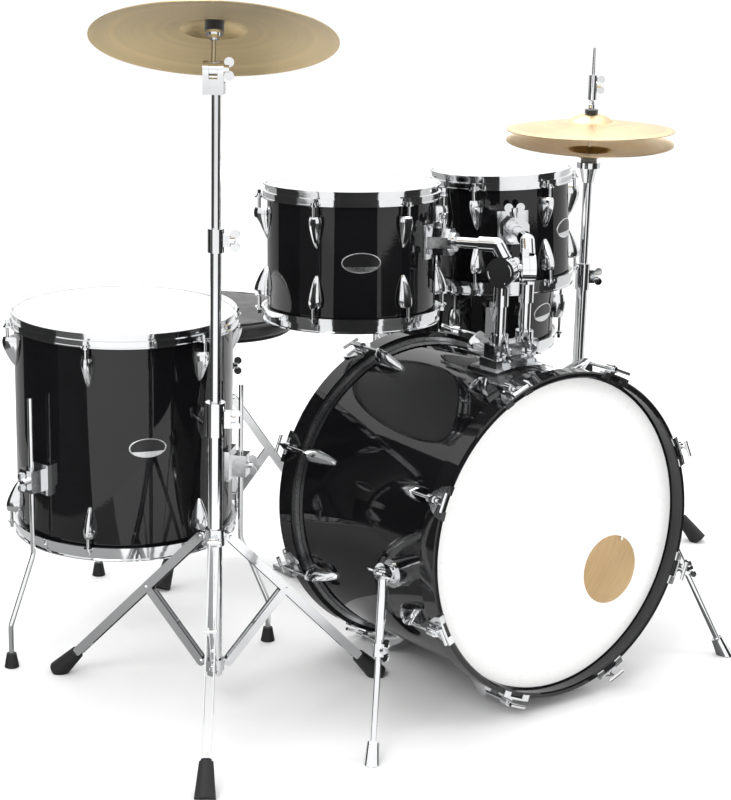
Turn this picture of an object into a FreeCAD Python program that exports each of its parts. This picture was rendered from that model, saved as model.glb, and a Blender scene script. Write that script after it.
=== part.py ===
"""Five-piece acoustic drum kit with hi-hats, crash cymbal, pedals and throne.

Kit frame while building: +X to the right as the audience sees the kit, +Y towards
the drummer, +Z up, floor at z = 0, the bass drum's front face over the origin.
Every piece is shifted at the end so that the origin is the middle of the footprint.
"""
import FreeCAD, Part
import math
import os

V = FreeCAD.Vector
X_AXIS = V(1, 0, 0)
Y_AXIS = V(0, 1, 0)
Z_AXIS = V(0, 0, 1)
ORIGIN = V(0, 0, 0)
INCH = 25.4
HUGE = 3000.0                 # size of a cutting block

# ---- clearances -------------------------------------------------------------
GAP = 0.3                     # between faces of neighbouring pieces
RUN = 0.4                     # round a shaft or pin that moves in its hole
SEAT = 0.1                    # between a fitting and the shell it is bolted to

# ---- shells, heads and hoops ------------------------------------------------
SHELL_WALL = 7.5
EDGE_CHAMFER = 4.0            # bearing edge, cut inside the shell
FILM = 1.2                    # drum head film
RING_WIDE = 5.0               # the head's ring, radially
RING_HIGH = 6.0
BASS_RING_WIDE = 7.0
RING_TOP = 5.9                # ring below a tom's bearing edge
HOOP_STEEL = 2.0
HOOP_RISE = 10.0              # metal hoop above the head
HOOP_DROP = 16.0              # metal hoop below the head
HOOP_FLANGE = 10.4            # flange outside the shell
ROD_OFFSET = 14.5             # tension rod outside the shell
ROD_R = 2.9
EAR_HALF = 8.0

# ---- bass drum --------------------------------------------------------------
bass_diameter = 22 * INCH
bass_depth = 16 * INCH
bass_tilt = 2.95              # degrees, front raised by the spurs
bass_hoop_width = 38.0
bass_hoop_wall = 11.0
bass_hoop_overhang = 27.8     # hoop face to shell edge
bass_claws = 8
bass_rod_stand_off = 12.0     # rod outside the hoop
claw_width = 60.0
claw_prong_gap = 29.0
vent_turn = 18.0              # air hole, degrees below level on the drum's +X side
vent_ahead = 100.0            # air hole in front of the shell's middle
bass_lug_length = 66.0
bass_lug_width = 27.0
bass_rod_free = 26.0          # rod length between flesh ring and lug
port_diameter = 5 * INCH
port_across = 133.0
port_below = 93.0

# ---- tom drums: diameter, depth, shell leans by a few degrees ----------------
tom_left_diameter = 12 * INCH
tom_left_depth = 9 * INCH
tom_right_diameter = 10 * INCH
tom_right_depth = 8 * INCH
lug_length = 56.0
lug_width = 26.0
lug_height = 24.0
lug_rod_free = 18.0

mount_x = 12.0                # tom mount beside the bass drum's crown
mount_y = 180.0
mount_rise = 44.1             # top of the mount above the shell's crown
post_spacing = 58.0
post_r = 10.0
ratchet_rise = 130.0          # ratchet axis above the mount
ratchet_r = 26.0
ratchet_half = 12.0           # thickness of each half of a ratchet
elbow_rise = 47.0
elbow_lean = 12.0             # riser's top leans this far towards the drum
arm_r = 9.5
left_arm_free = 137.6         # elbow to shell
left_heading = 120.2          # degrees, from the post to the drum
left_lean = V(0.0257, 0.0616, 1)
left_bracket_up = 28.0        # bracket above the shell's middle
right_arm_free = 167.0
right_heading = 59.3
right_lean = V(-0.0181, 0.0633, 1)
right_bracket_up = 16.0

# ---- floor tom --------------------------------------------------------------
floor_diameter = 16 * INCH
floor_depth = 16 * INCH
floor_centre = V(-455.2, 743.9, 423.3)
floor_heading = 191.5         # degrees, first leg
floor_leg_r = 4.75
floor_leg_top = 505.0
floor_leg_stand_off = 24.0
floor_leg_bend_z = 205.0
floor_leg_low_z = 80.0
floor_foot_out = 55.8         # foot outside the leg's upper run
floor_bracket_z = 350.0

# ---- snare drum -------------------------------------------------------------
snare_diameter = 14 * INCH
snare_depth = 5.5 * INCH
snare_centre = V(bass_diameter / 2 + 35.6, 675.0, 570.0)
snare_heading = 223.3
snare_lug_length = 48.0
snare_foot_radius = 225.0

# ---- cymbals: diameter, bow height, bell diameter, bell height, sheet ---------
crash_diameter = 16 * INCH
crash_bow = 20.0
crash_bell = 14.0
hat_diameter = 14 * INCH
hat_bow = 19.0
hat_bell = 16.0
bell_share = 0.27             # bell diameter over cymbal diameter
cymbal_sheet = 1.4
cymbal_hole_r = 6.0

# ---- crash stand ------------------------------------------------------------
crash_x = -529.0
crash_y = 312.5
crash_normal = V(0.233, 0.3246, 0.917)
crash_pivot_step = V(-10.26, -6.95, 27.36)     # tilter pivot from the tube's top
tilt_arm = 46.0               # tilter pivot to the rim's plane
crash_base_r = 12.7
crash_middle_r = 9.5
crash_upper_r = 7.9
crash_lower_clamp = (511.0, 570.0)     # from z, to z
crash_upper_clamp = (829.0, 869.0)
crash_middle_low = 400.0
crash_upper_low = 700.0
crash_top_z = 1106.0
crash_collar_z = 326.0
crash_low_collar_z = 92.0
crash_foot_radius = 328.2
crash_heading = 234.92
crash_fold = 38.0             # degrees that the legs swing in

# ---- hi-hat stand -----------------------------------------------------------
hat_x = snare_centre.x + 347.4
hat_y = 704.8
hat_heading = -52.7
hat_bottom_rim_z = 865.5
hat_open = 24.3               # between the two rims
hat_top_lean = V(0.0033, 0.0363, 1)
hat_bottom_lean = V(-0.0105, -0.0112, 1)
hat_rod_top = 1064.0
hat_foot_radius = 278.0
hat_base_r = 12.7
hat_upper_r = 9.5
hat_stroke = 14.0
hat_tube_low = 86.0
hat_clamp = (545.0, 602.0)
hat_collar_z = 300.0
hat_low_collar_z = 120.0
hat_heel_reach = 285.0

# ---- bass pedal ----------------------------------------------------------------
pedal_cam_r = 38.0
pedal_shaft_z = 172.0
pedal_shaft_behind = 62.0     # shaft behind the bass drum's rear face
pedal_beater_rise = 150.0
pedal_heel_reach = 268.0
pedal_toe_z = 92.0
PLATE_Z = 6.0                 # middle of a pedal's ground plate
HEEL_Z = 18.0                 # a pedal's heel pin
HEEL_PIN_R = 3.0

# ---- throne -----------------------------------------------------------------
throne_x = -76.0
throne_y = 1000.0
seat_diameter = 320.0
seat_thickness = 64.0
seat_bottom = 484.0
throne_heading = 330.0
throne_foot_radius = 250.0
throne_collar_z = 337.0
throne_low_collar_z = 117.0

# ---- spurs ------------------------------------------------------------------
spur_pivot_out = 42.6         # pivot outside the shell
spur_pivot_y = 102.0
spur_pivot_below = 26.1       # pivot below the drum's axis
spur_foot_out = 140.4         # foot outside the shell
spur_foot_y = -8.0
spur_tube_r = 8.0
spur_rod_r = 5.5
spur_clamp_share = 0.45

# ---- folding legs -----------------------------------------------------------
STRIP_WIDTH = 16.0
STRIP_THICK = 2.5
LEG_INNER = 6.2               # half the space between a leg's two strips
BRACE_INNER = 3.3
PIN_R = 3.0
BOOT_LENGTH = 46.0
CLAMP_FACING = 320.0          # degrees, side of each stand with the wing nuts
CLAMP_GRIP = 8.0              # length of tube held in its own clamp

parts = {}
pivots = {}


# ---- small geometry helpers ---------------------------------------------------
def unit(vector):
    copy = V(vector)
    copy.normalize()
    return copy


def polar(radius, degrees, height=0.0):
    angle = math.radians(degrees)
    return V(radius * math.cos(angle), radius * math.sin(angle), height)


def axes(origin, z_direction, x_hint=X_AXIS):
    """Placement whose z axis is z_direction and whose x axis leans to x_hint."""
    z = unit(z_direction)
    x = unit(x_hint - z * x_hint.dot(z))
    y = z.cross(x)
    matrix = FreeCAD.Matrix(x.x, y.x, z.x, origin.x,
                            x.y, y.y, z.y, origin.y,
                            x.z, y.z, z.z, origin.z,
                            0, 0, 0, 1)
    return FreeCAD.Placement(matrix)


def moved(shape, place):
    copy = shape.copy()
    copy.Placement = place.multiply(copy.Placement)
    return copy


def all_moved(shapes, place):
    return [moved(shape, place) for shape in shapes]


def turned(shape, degrees, centre=ORIGIN, axis=Z_AXIS):
    copy = shape.copy()
    copy.rotate(centre, axis, degrees)
    return copy


def ring_of(shape, count, first=0.0):
    return [turned(shape, first + k * 360.0 / count) for k in range(count)]


def cyl(radius, length, base=ORIGIN, axis=Z_AXIS):
    return Part.makeCylinder(radius, length, base, axis)


def bar(start, end, radius):
    return cyl(radius, (end - start).Length, start, end - start)


def tube(outer, inner, length, base=ORIGIN, axis=Z_AXIS):
    return cyl(outer, length, base, axis).cut(cyl(inner, length, base, axis))


def cone(start, end, start_r, end_r):
    return Part.makeCone(start_r, end_r, (end - start).Length, start, end - start)


def block(x_size, y_size, z_size, centre=ORIGIN):
    corner = centre - V(x_size, y_size, z_size) * 0.5
    return Part.makeBox(x_size, y_size, z_size, corner)


def lathe(profile):
    """Solid of revolution about z from (radius, height) corners."""
    points = [V(r, 0, z) for r, z in profile]
    face = Part.Face(Part.makePolygon(points + [points[0]]))
    return face.revolve(ORIGIN, Z_AXIS, 360)


def fuse(first, *others):
    return first.multiFuse(list(others)).removeSplitter()


def cut(shape, *tools):
    return shape.cut(list(tools)) if len(tools) > 1 else shape.cut(tools[0])


def above_floor(shape):
    return shape.cut(block(HUGE, HUGE, HUGE, V(0, 0, -HUGE / 2)))


def bent_bar(points, radius, bend):
    """Round bar through the points, each corner rounded to the bend radius."""
    solids = []
    start = points[0]
    for k in range(1, len(points) - 1):
        into = unit(points[k] - points[k - 1])
        out = unit(points[k + 1] - points[k])
        turn = into.getAngle(out)
        trim = bend * math.tan(turn / 2)
        arc_start = points[k] - into * trim
        arc_end = points[k] + out * trim
        solids.append(bar(start, arc_start, radius))
        normal = unit(into.cross(out))
        centre = arc_start + normal.cross(into) * bend
        face = Part.Face(Part.Wire(Part.makeCircle(radius, arc_start, into)))
        solids.append(face.revolve(centre, normal, math.degrees(turn)))
        start = arc_end
    solids.append(bar(start, points[-1], radius))
    return fuse(*solids)


def wing_nut(place, hub=6.5, height=9.0, span=11.0, lobe=8.0):
    """Hub along z with two round wings that stand up from it."""
    lobes = [cyl(lobe, 3.2, V(side * span, -1.6, height), Y_AXIS) for side in (-1, 1)]
    return moved(fuse(cyl(hub, height), *lobes), place)


# ---- drum pieces, each with its axis on z --------------------------------------
def shell(radius, depth, wall=SHELL_WALL):
    inner = radius - wall
    half = depth / 2
    return lathe([(radius, -half), (radius, half), (radius - wall / 2, half),
                  (inner, half - EDGE_CHAMFER), (inner, -half + EDGE_CHAMFER),
                  (radius - wall / 2, -half)])


def head(radius, edge, ring_top, ring_wide):
    """Film over a shell edge at z = edge, with its ring ring_top below the edge."""
    inner = radius + 2 * GAP
    outer = inner + FILM
    top = edge + SEAT + FILM
    ring_z = edge - ring_top
    return lathe([(0, top), (outer, top), (outer, ring_z), (inner + ring_wide, ring_z),
                  (inner + ring_wide, ring_z - RING_HIGH), (inner, ring_z - RING_HIGH),
                  (inner, edge + SEAT), (0, edge + SEAT)])


def steel_hoop(radius, edge, angles):
    """Triple-flanged counter hoop over the head, with one ear for each rod."""
    wall_in = radius + 2 * GAP + FILM + GAP
    wall_out = wall_in + HOOP_STEEL
    skirt_in = radius + 3 * GAP + RING_WIDE
    skirt_out = skirt_in + HOOP_STEEL
    step = edge - HOOP_STEEL - 1.7
    low = edge - HOOP_DROP
    high = edge + HOOP_RISE
    lip = wall_out + 3.6
    hoop = lathe([(wall_in, step - HOOP_STEEL), (wall_in, high - 1.5),
                  (wall_in + 1.2, high), (lip, high), (lip, high - HOOP_STEEL),
                  (wall_out, high - HOOP_STEEL - 0.5), (wall_out, step),
                  (skirt_out, step), (skirt_out, low + HOOP_STEEL),
                  (radius + HOOP_FLANGE, low + HOOP_STEEL),
                  (radius + HOOP_FLANGE, low), (skirt_in, low),
                  (skirt_in, step - HOOP_STEEL)])
    reach = radius + ROD_OFFSET
    thick = HOOP_STEEL + 0.6
    web = block(reach - skirt_out, 2 * EAR_HALF, thick,
                V((reach + skirt_out) / 2, 0, low + thick / 2))
    ear = fuse(web, cyl(EAR_HALF, thick, V(reach, 0, low)))
    hole = cyl(ROD_R + RUN, HOOP_DROP, V(reach, 0, low - 1))
    hoop = fuse(hoop, *[turned(ear, a) for a in angles])
    return cut(hoop, *[turned(hole, a) for a in angles])


def tension_rod(radius, edge, length):
    """Key rod that hangs from the hoop's ear: washer, collar and square head."""
    seat = edge - HOOP_DROP + HOOP_STEEL + 0.6 + SEAT
    reach = radius + ROD_OFFSET
    shank = cyl(ROD_R, length + 3, V(reach, 0, seat - length))
    washer = cyl(5.6, 1.6, V(reach, 0, seat))
    collar = cyl(4.6, 3.0, V(reach, 0, seat + 1.6))
    square = block(6.0, 6.0, 6.5, V(reach, 0, seat + 7.8))
    return fuse(shank, washer, collar, square)


def ridge_section(radius, z, width, height):
    """Closed section of a lug: two arcs that meet in a ridge."""
    sunk = radius - 4.0
    left = V(sunk, -width / 2, z)
    right = V(sunk, width / 2, z)
    top = V(radius + height, 0, z)
    shoulder = radius + height * 0.62
    arcs = [Part.Arc(left, V(shoulder, -width * 0.36, z), top).toShape(),
            Part.Arc(top, V(shoulder, width * 0.36, z), right).toShape()]
    return Part.Wire(arcs + [Part.makeLine(right, left)])


TEARDROP = [(0.0, 0.86, 0.90), (0.22, 1.0, 1.0), (0.58, 0.76, 0.72),
            (0.88, 0.44, 0.34), (1.0, 0.20, 0.12)]
BARREL = [(0.0, 0.72, 0.84), (0.3, 1.0, 1.0), (0.7, 1.0, 1.0), (1.0, 0.72, 0.84)]


def lug(radius, start, length, width, height, outline, bore_at, both_ends=False):
    """Lug on a shell: flat end at z = start, running down by length."""
    sections = [ridge_section(radius, start - share * length, width * w, height * h)
                for share, w, h in outline]
    body = Part.makeLoft(sections, True, False)
    body = body.cut(cyl(radius + SEAT, 2 * length, V(0, 0, start - 1.5 * length)))
    depth = length if both_ends else length * 0.5
    return body.cut(cyl(ROD_R + RUN, depth + 1, V(radius + bore_at, 0, start - depth)))


def both_ends(make):
    """A piece made for the top edge and its mirror image at the bottom."""
    top = make()
    return [top, top.mirror(ORIGIN, Z_AXIS)]


def lugged_drum(name, radius, depth, lugs, first, place, split_lugs=True):
    """Shell, two hoops, two heads, lugs and key rods of one drum."""
    edge = depth / 2
    angles = [first + k * 360.0 / lugs for k in range(lugs)]
    hoops = both_ends(lambda: steel_hoop(radius, edge, angles))
    heads = both_ends(lambda: head(radius, edge, RING_TOP, RING_WIDE))
    if split_lugs:
        flat_end = edge - HOOP_DROP - lug_rod_free
        lug_pair = both_ends(lambda: lug(radius, flat_end, lug_length, lug_width,
                                         lug_height, TEARDROP, ROD_OFFSET))
        rod_length = HOOP_DROP + lug_rod_free + 4.0
    else:
        lug_pair = [lug(radius, snare_lug_length / 2, snare_lug_length, lug_width,
                        lug_height, BARREL, ROD_OFFSET, True)]
        rod_length = edge - snare_lug_length / 2 + 4.0
    rod_pair = both_ends(lambda: tension_rod(radius, edge, rod_length))
    fittings = [turned(piece, a) for a in angles for piece in lug_pair + rod_pair]
    parts[name + "_shell"] = [moved(shell(radius, depth), place)]
    parts[name + "_hoops"] = all_moved(hoops, place)
    parts[name + "_heads"] = all_moved(heads, place)
    parts[name + "_lugs"] = all_moved(fittings, place)


def cymbal(diameter, bow, bell):
    """Cymbal with its rim in z = 0 and its bell on +z."""
    rim = diameter / 2
    bell_r = rim * bell_share
    drop = V(0, 0, -cymbal_sheet)

    def top_edges(shift):
        hole = V(cymbal_hole_r, 0, bow + bell) + shift
        crown = V(bell_r * 0.62, 0, bow + bell * 0.72) + shift
        root = V(bell_r, 0, bow) + shift
        middle = V((rim + bell_r) / 2, 0, bow * 0.60) + shift
        edge = V(rim, 0, cymbal_sheet) + shift
        return [Part.Arc(hole, crown, root).toShape(),
                Part.Arc(root, middle, edge).toShape()]

    outer = top_edges(ORIGIN)
    inner = top_edges(drop)
    hole_line = Part.makeLine(V(cymbal_hole_r, 0, bow + bell),
                              V(cymbal_hole_r, 0, bow + bell) + drop)
    rim_line = Part.makeLine(V(rim, 0, cymbal_sheet), V(rim, 0, 0))
    wire = Part.Wire(Part.__sortEdges__(outer + [rim_line] + inner + [hole_line]))
    return Part.Face(wire).revolve(ORIGIN, Z_AXIS, 360)


# ---- folding tripod --------------------------------------------------------------
def link(start, end, side, inner, hole_at):
    """Flat strip with round ends beside the plane y = 0, with holes for its pins."""
    y = inner if side > 0 else -inner - STRIP_THICK
    half = STRIP_WIDTH / 2
    shift = V(0, y, 0)
    along = axes(start + shift, Y_AXIS, end - start)
    length = (end - start).Length
    plate = moved(Part.makeBox(length, STRIP_WIDTH, STRIP_THICK, V(0, -half, 0)), along)
    ends = [cyl(half, STRIP_THICK, p + shift, Y_AXIS) for p in (start, end)]
    strip = fuse(plate, *ends)
    holes = [cyl(PIN_R + RUN, STRIP_THICK, p + shift, Y_AXIS) for p in hole_at]
    return cut(strip, *holes) if holes else strip


def cross_pin(at, half_length, radius=PIN_R):
    return cyl(radius, 2 * half_length, at - V(0, half_length, 0), Y_AXIS)


def boot(end, direction, length=BOOT_LENGTH, top_r=12.0, foot_r=16.0):
    """Rubber boot on a leg's end, cut flat by the floor."""
    start = end - direction * length
    return above_floor(cone(start, end + direction * foot_r, top_r, foot_r + 2.0))


def tripod(axis_at, heading, tube_r, upper_z, lower_z, foot_radius, foot_lift=14.0):
    """Double-braced tripod: collars, three legs with boots, three braces.

    Leg and brace are equal from the collars to the pin where they meet, so each
    pair closes like one side of a rhombus.
    """
    pin_radius = tube_r + 13.5
    upper = V(pin_radius, 0, upper_z)
    lower = V(pin_radius, 0, lower_z)
    foot = V(foot_radius, 0, foot_lift)
    along = unit(foot - upper)
    arm = (upper_z - lower_z) / 2 / -along.z
    middle = upper + along * arm
    boot_top = foot - along * BOOT_LENGTH
    leg_outer = LEG_INNER + STRIP_THICK
    brace_outer = BRACE_INNER + STRIP_THICK
    strip_end = boot_top - along * (STRIP_WIDTH / 2)
    leg = fuse(*[link(upper, strip_end, s, LEG_INNER, [upper]) for s in (-1, 1)],
               cross_pin(middle, leg_outer + 2.0),
               cross_pin(strip_end, LEG_INNER + SEAT, STRIP_WIDTH / 2 - 1))
    half_way = (middle + lower) * 0.5
    brace = fuse(*[link(middle, lower, s, BRACE_INNER, [middle]) for s in (-1, 1)],
                 cross_pin(half_way, BRACE_INNER + SEAT),
                 *[cyl(PIN_R + 1, 1.6, lower + V(0, s * brace_outer, 0), Y_AXIS * s)
                   for s in (-1, 1)])
    rubber = boot(foot, along)
    collar_r = tube_r + 4.0
    bore = cyl(tube_r + RUN, HUGE, V(0, 0, -HUGE / 2))
    ear_half = LEG_INNER - GAP
    upper_ear = fuse(block(pin_radius, 2 * ear_half, 14.0, V(pin_radius / 2, 0, upper_z)),
                     cyl(7.0, 2 * ear_half, V(pin_radius, -ear_half, upper_z), Y_AXIS),
                     cross_pin(upper, leg_outer + 2.5))
    thin_half = BRACE_INNER - GAP
    lower_ear = fuse(block(pin_radius, 2 * thin_half, 12.0, V(pin_radius / 2, 0, lower_z)),
                     cyl(6.0, 2 * thin_half, V(pin_radius, -thin_half, lower_z), Y_AXIS))
    upper_collar = fuse(cyl(collar_r, 30.0, V(0, 0, upper_z - 12.0)),
                        *ring_of(upper_ear, 3)).cut(bore)
    lower_collar = fuse(cyl(collar_r, 22.0, V(0, 0, lower_z - 11.0)),
                        *ring_of(lower_ear, 3)).cut(bore)
    place = FreeCAD.Placement(axis_at, FreeCAD.Rotation(Z_AXIS, heading))
    result = {"upper_collar": moved(upper_collar, place),
              "lower_collar": moved(lower_collar, place),
              "legs": [], "braces": [], "arm": arm,
              "spread": math.acos(-along.z)}
    for k in range(3):
        spot = place.multiply(FreeCAD.Placement(ORIGIN, FreeCAD.Rotation(Z_AXIS, 120.0 * k)))
        result["legs"].append({"solids": [moved(leg, spot), moved(rubber, spot)],
                               "pivot": spot.multVec(upper), "middle": spot.multVec(middle),
                               "axis": spot.Rotation.multVec(Y_AXIS)})
        result["braces"].append(moved(brace, spot))
    return result


def fixed_tripod(stand):
    """All solids of a tripod that stays open."""
    solids = [stand["upper_collar"], stand["lower_collar"]] + stand["braces"]
    for leg in stand["legs"]:
        solids += leg["solids"]
    return solids


# ---- bass drum ---------------------------------------------------------------
bass_r = bass_diameter / 2
hoop_in = bass_r + 2 * GAP + FILM + 2.8
hoop_out = hoop_in + bass_hoop_wall
bass_length = bass_depth + 2 * bass_hoop_overhang
tilt = math.radians(bass_tilt)
bass_axis = V(0, math.cos(tilt), -math.sin(tilt))
bass_rear_z = hoop_out * math.cos(tilt)
bass_front = V(0, 0, bass_rear_z + bass_length * math.sin(tilt))
bass_middle = bass_front + bass_axis * (bass_length / 2)
bass_place = axes(bass_middle, bass_axis)
bass_inside = moved(cyl(bass_r + SEAT, bass_depth, V(0, 0, -bass_depth / 2)), bass_place)
claw_angles = [180.0 / bass_claws + k * 360.0 / bass_claws for k in range(bass_claws)]


def bass_axis_z(y):
    """Height of the bass drum's axis at a distance behind its front face."""
    return bass_front.z - y * math.tan(tilt)


mount_top = bass_axis_z(mount_y) + bass_r / math.cos(tilt) + mount_rise
post_feet = [V(mount_x + side * post_spacing / 2, mount_y, 0) for side in (-1, 1)]


def wood_hoop():
    rear = bass_length / 2
    front = rear - bass_hoop_width
    soft = 2.5
    return lathe([(hoop_in, front), (hoop_in, rear - soft), (hoop_in + soft, rear),
                  (hoop_out - soft, rear), (hoop_out, rear - soft), (hoop_out, front)])


def claw():
    """Hook over the hoop's face: curved shield, two prongs and the rod's eye."""
    face = bass_length / 2
    rod_r = hoop_out + bass_rod_stand_off
    inner = hoop_out + GAP
    outer = inner + 3.2
    half = claw_width / 2
    side = [(0.30, -34.0), (0.62, -22.0), (0.90, -10.0), (1.0, 4.0)]
    leaf = [V(outer - 30.0, share * half, face + z) for share, z in side]
    leaf = leaf + [V(outer - 30.0, -p.y, p.z) for p in reversed(leaf)]
    outline = Part.Face(Part.makePolygon(leaf + [leaf[0]])).extrude(V(60.0, 0, 0))
    shield = tube(outer, inner, 38.0, V(0, 0, face - 34.0)).common(outline)
    lip = tube(outer, hoop_in + 3.0, 3.4, V(0, 0, face + GAP))
    lip = lip.common(block(80.0, claw_width, 100.0, V(outer, 0, face)))
    lip = lip.cut(block(200.0, claw_prong_gap, 100.0, V(outer - 4.0 - 100.0, 0, face)))
    eye = cyl(7.5, 16.0, V(rod_r, 0, face - 26.0))
    web = block(rod_r - inner - 1.0, 11.0, 16.0, V((rod_r + inner + 1.0) / 2, 0, face - 18.0))
    hole = cyl(ROD_R + RUN, 60.0, V(rod_r, 0, face - 50.0))
    return fuse(shield, lip, eye, web).cut(hole)


def claw_rod():
    """Threaded rod from the claw to the lug, with its T handle."""
    face = bass_length / 2
    rod_r = hoop_out + bass_rod_stand_off
    lug_face = face - bass_hoop_width - RING_HIGH - bass_rod_free
    seat = face - 10.0 + SEAT
    shank = cyl(ROD_R, face + 12.0 - lug_face + 22.0, V(rod_r, 0, lug_face - 22.0))
    collar = cyl(5.5, 6.0, V(rod_r, 0, seat))
    handle = cyl(3.4, 34.0, V(rod_r, -17.0, face + 12.0), Y_AXIS)
    return fuse(shank, collar, handle)


def build_bass_drum():
    edge = bass_depth / 2
    ring_top = bass_hoop_width - bass_hoop_overhang + GAP
    heads = both_ends(lambda: head(bass_r, edge, ring_top, BASS_RING_WIDE))
    port = cyl(port_diameter / 2, 40.0, V(port_across, port_below, -edge - 20.0))
    lug_face = bass_length / 2 - bass_hoop_width - RING_HIGH - bass_rod_free
    lug_height_here = hoop_out + bass_rod_stand_off - bass_r + 8.0
    bore_at = hoop_out + bass_rod_stand_off - bass_r
    lugs = both_ends(lambda: lug(bass_r, lug_face, bass_lug_length, bass_lug_width,
                                 lug_height_here, TEARDROP, bore_at))
    claws = both_ends(claw)
    rods = both_ends(claw_rod)
    post_holes = [cyl(post_r + 1.5, 160.0, foot + V(0, 0, mount_top - 160.0))
                  for foot in post_feet]
    body = moved(shell(bass_r, bass_depth), bass_place)
    vent = cyl(6.0, 40.0, polar(bass_r - 20.0, vent_turn, -vent_ahead), polar(1.0, vent_turn))
    parts["bass_shell"] = [cut(body, moved(vent, bass_place), *post_holes)]
    parts["bass_hoops"] = all_moved(both_ends(wood_hoop), bass_place)
    parts["bass_front_head"] = [moved(heads[1].cut(port), bass_place)]
    parts["bass_batter_head"] = [moved(heads[0], bass_place)]
    for name, pair in (("bass_lugs", lugs), ("bass_claws", claws), ("bass_tension_rods", rods)):
        around = [turned(piece, a) for a in claw_angles for piece in pair]
        parts[name] = all_moved(around, bass_place)


# ---- spurs ---------------------------------------------------------------------
def build_spur(name, side):
    """Folding leg on the bass drum; side is -1 for the audience's left."""
    pivot = V(side * (bass_r + spur_pivot_out), spur_pivot_y,
              bass_axis_z(spur_pivot_y) - spur_pivot_below)
    foot = V(side * (bass_r + spur_foot_out), spur_foot_y, 0)
    down = unit(foot - pivot)
    forward = V(0, -1, 0)
    hinge = unit(down.cross(forward)) * -side
    hub_half = spur_tube_r + 1.0
    fold = math.degrees(down.getAngle(forward))
    outward = hinge if hinge.x * side > 0 else -hinge
    socket = cyl(17.0, 60.0, pivot - outward * (hub_half + GAP), -outward)
    boss_at = V(side * (bass_r - 10.0), pivot.y, pivot.z - 6.0)
    boss = cyl(25.0, 36.0, boss_at, V(side, 0, 0))
    bolt = bar(pivot - outward * 12.0, pivot + outward * (hub_half + 8.0), 5.0)
    nut = wing_nut(axes(pivot + outward * (hub_half + GAP), outward, forward))
    bracket = fuse(boss, socket).cut(bass_inside)
    bracket = fuse(bracket, bolt, nut)
    length = (foot - pivot).Length
    joint = pivot + down * (length * spur_clamp_share)
    hub = cyl(15.0, 2 * hub_half, pivot - outward * hub_half, outward)
    behind = unit(down.cross(hinge)) * side
    knob = wing_nut(axes(joint - down * 11.0 + behind * 9.0, behind, down))
    outer = fuse(hub, bar(pivot, joint, spur_tube_r),
                 bar(joint - down * 22.0, joint, spur_tube_r + 3.0), knob)
    outer = outer.cut(bar(pivot - outward * 12.0, pivot + outward * 12.0, 5.0 + RUN))
    outer = outer.cut(bar(joint - down * 60.0, joint + down, spur_rod_r + RUN))
    boot_start = foot - down * 34.0
    inner = fuse(bar(joint - down * 50.0, boot_start, spur_rod_r),
                 bar(boot_start - down * 3.0, boot_start, 11.0))
    rubber = above_floor(cone(boot_start, foot + down * 8.0, 11.0, 15.0))
    parts["spur_%s_leg" % name] = [outer, inner, rubber]
    pivots["spur_%s_fold" % name] = (pivot, unit(down.cross(forward)), fold)
    return bracket


# ---- tom mount and toms ------------------------------------------------------------
def build_mount():
    """Plate and box on the bass drum that hold the two tom posts."""
    base_z = mount_top - 60.0
    plate = block(108.0, 46.0, 34.0, V(mount_x, mount_y, base_z + 17.0))
    saddle = moved(cyl(bass_r + 6.0, bass_depth, V(0, 0, -bass_depth / 2)), bass_place)
    saddle = saddle.common(block(132.0, 82.0, 200.0, V(mount_x, mount_y, mount_top)))
    body = block(104.0, 28.0, 50.0, V(mount_x, mount_y, mount_top - 25.0))
    sleeves = [cyl(17.0, 52.0, foot + V(0, 0, mount_top - 50.0)) for foot in post_feet]
    knobs = [wing_nut(axes(foot + V(0, -17.0, mount_top - 22.0), V(0, -1, 0), Z_AXIS))
             for foot in post_feet]
    bores = [cyl(post_r + RUN, 200.0, foot + V(0, 0, mount_top - 100.0)) for foot in post_feet]
    mount = fuse(plate, saddle, body, *sleeves)
    mount = mount.cut(bass_inside)
    mount = fuse(mount, *knobs)
    parts["tom_mount_bracket"] = [cut(mount, *bores)]


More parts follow.
